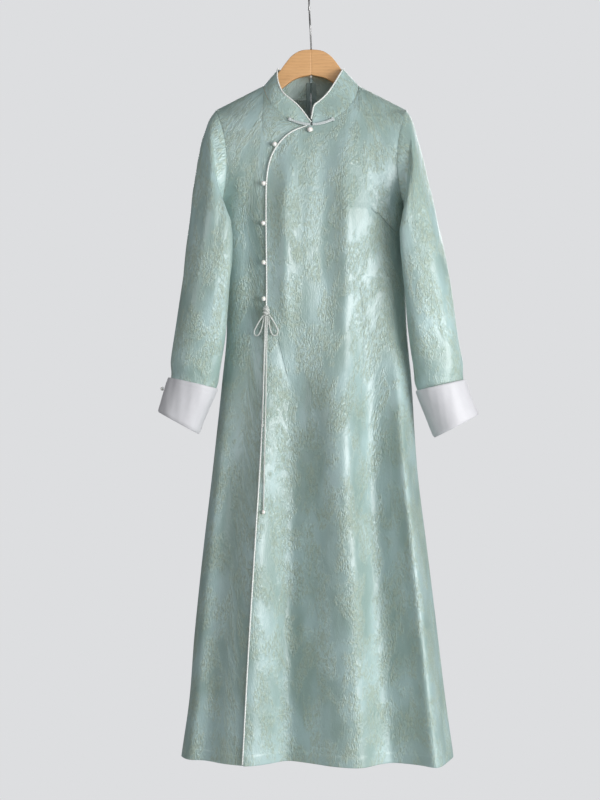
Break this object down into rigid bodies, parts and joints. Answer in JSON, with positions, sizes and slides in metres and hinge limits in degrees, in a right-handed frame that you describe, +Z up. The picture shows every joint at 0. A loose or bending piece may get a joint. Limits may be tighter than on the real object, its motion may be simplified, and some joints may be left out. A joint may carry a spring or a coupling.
{
  "type": "cheongsam on a hanger",
  "caption": "Long-sleeved A-line cheongsam with stand collar, curved side placket, cord bow and turned-back cuffs, hanging open and hollow on a wooden hanger.",
  "frame": {"origin": "where the hanger's hook rests on its rod, at the inside of the hook's crown", "axes": "+Z up, -Y the garment's front, +X the wearer's left"},
  "size_m": [0.5885, 0.2098, 1.4094],
  "materials": {
    "jacquard": "satin jacquard, soft sheen",
    "cuff_satin": "white satin",
    "piping": "white satin bias binding",
    "cord": "pale round satin cord",
    "pearl": "pearl lustre",
    "zip_tape": "woven tape with a coil",
    "zip_metal": "satin enamel",
    "wood": "satin lacquered beech",
    "steel": "bright wire"
  },
  "bodies": {
    "garment": {"front_panel": "jacquard", "front_side_panel": "jacquard", "back_left": "jacquard", "back_right": "jacquard", "sleeve_right": "jacquard", "sleeve_left": "jacquard", "collar_right": "jacquard", "collar_left": "jacquard", "frog_right": "jacquard", "frog_left": "jacquard", "cuff_right": "cuff_satin", "cuff_left": "cuff_satin", "collar_piping_right": "piping", "collar_piping_left": "piping", "placket_piping": "piping", "bow_knot": "cord", "bow_loop_left": "cord", "bow_loop_right": "cord", "tail_long": "cord", "tail_short": "cord", "tail_short_knot": "cord", "pearl_1": "pearl", "pearl_2": "pearl", "pearl_3": "pearl", "pearl_4": "pearl", "pearl_5": "pearl", "neck_pearl": "pearl", "cuff_pearl_right": "pearl", "cuff_pearl_left": "pearl", "tail_pearl": "pearl", "zip": "zip_tape", "zip_slider": "zip_metal", "hanger_board": "wood", "hanger_hook": "steel"},
    "zip_pull": {"zip_pull_tab": "zip_metal"}
  },
  "joints": [
    {"name": "pull_swing", "type": "hinge", "parent": "garment", "child": "zip_pull", "pos_m": [0.004, 0.03318, -0.15162], "axis": [1, 0, 0], "range_deg": [0, 150]}
  ]
}
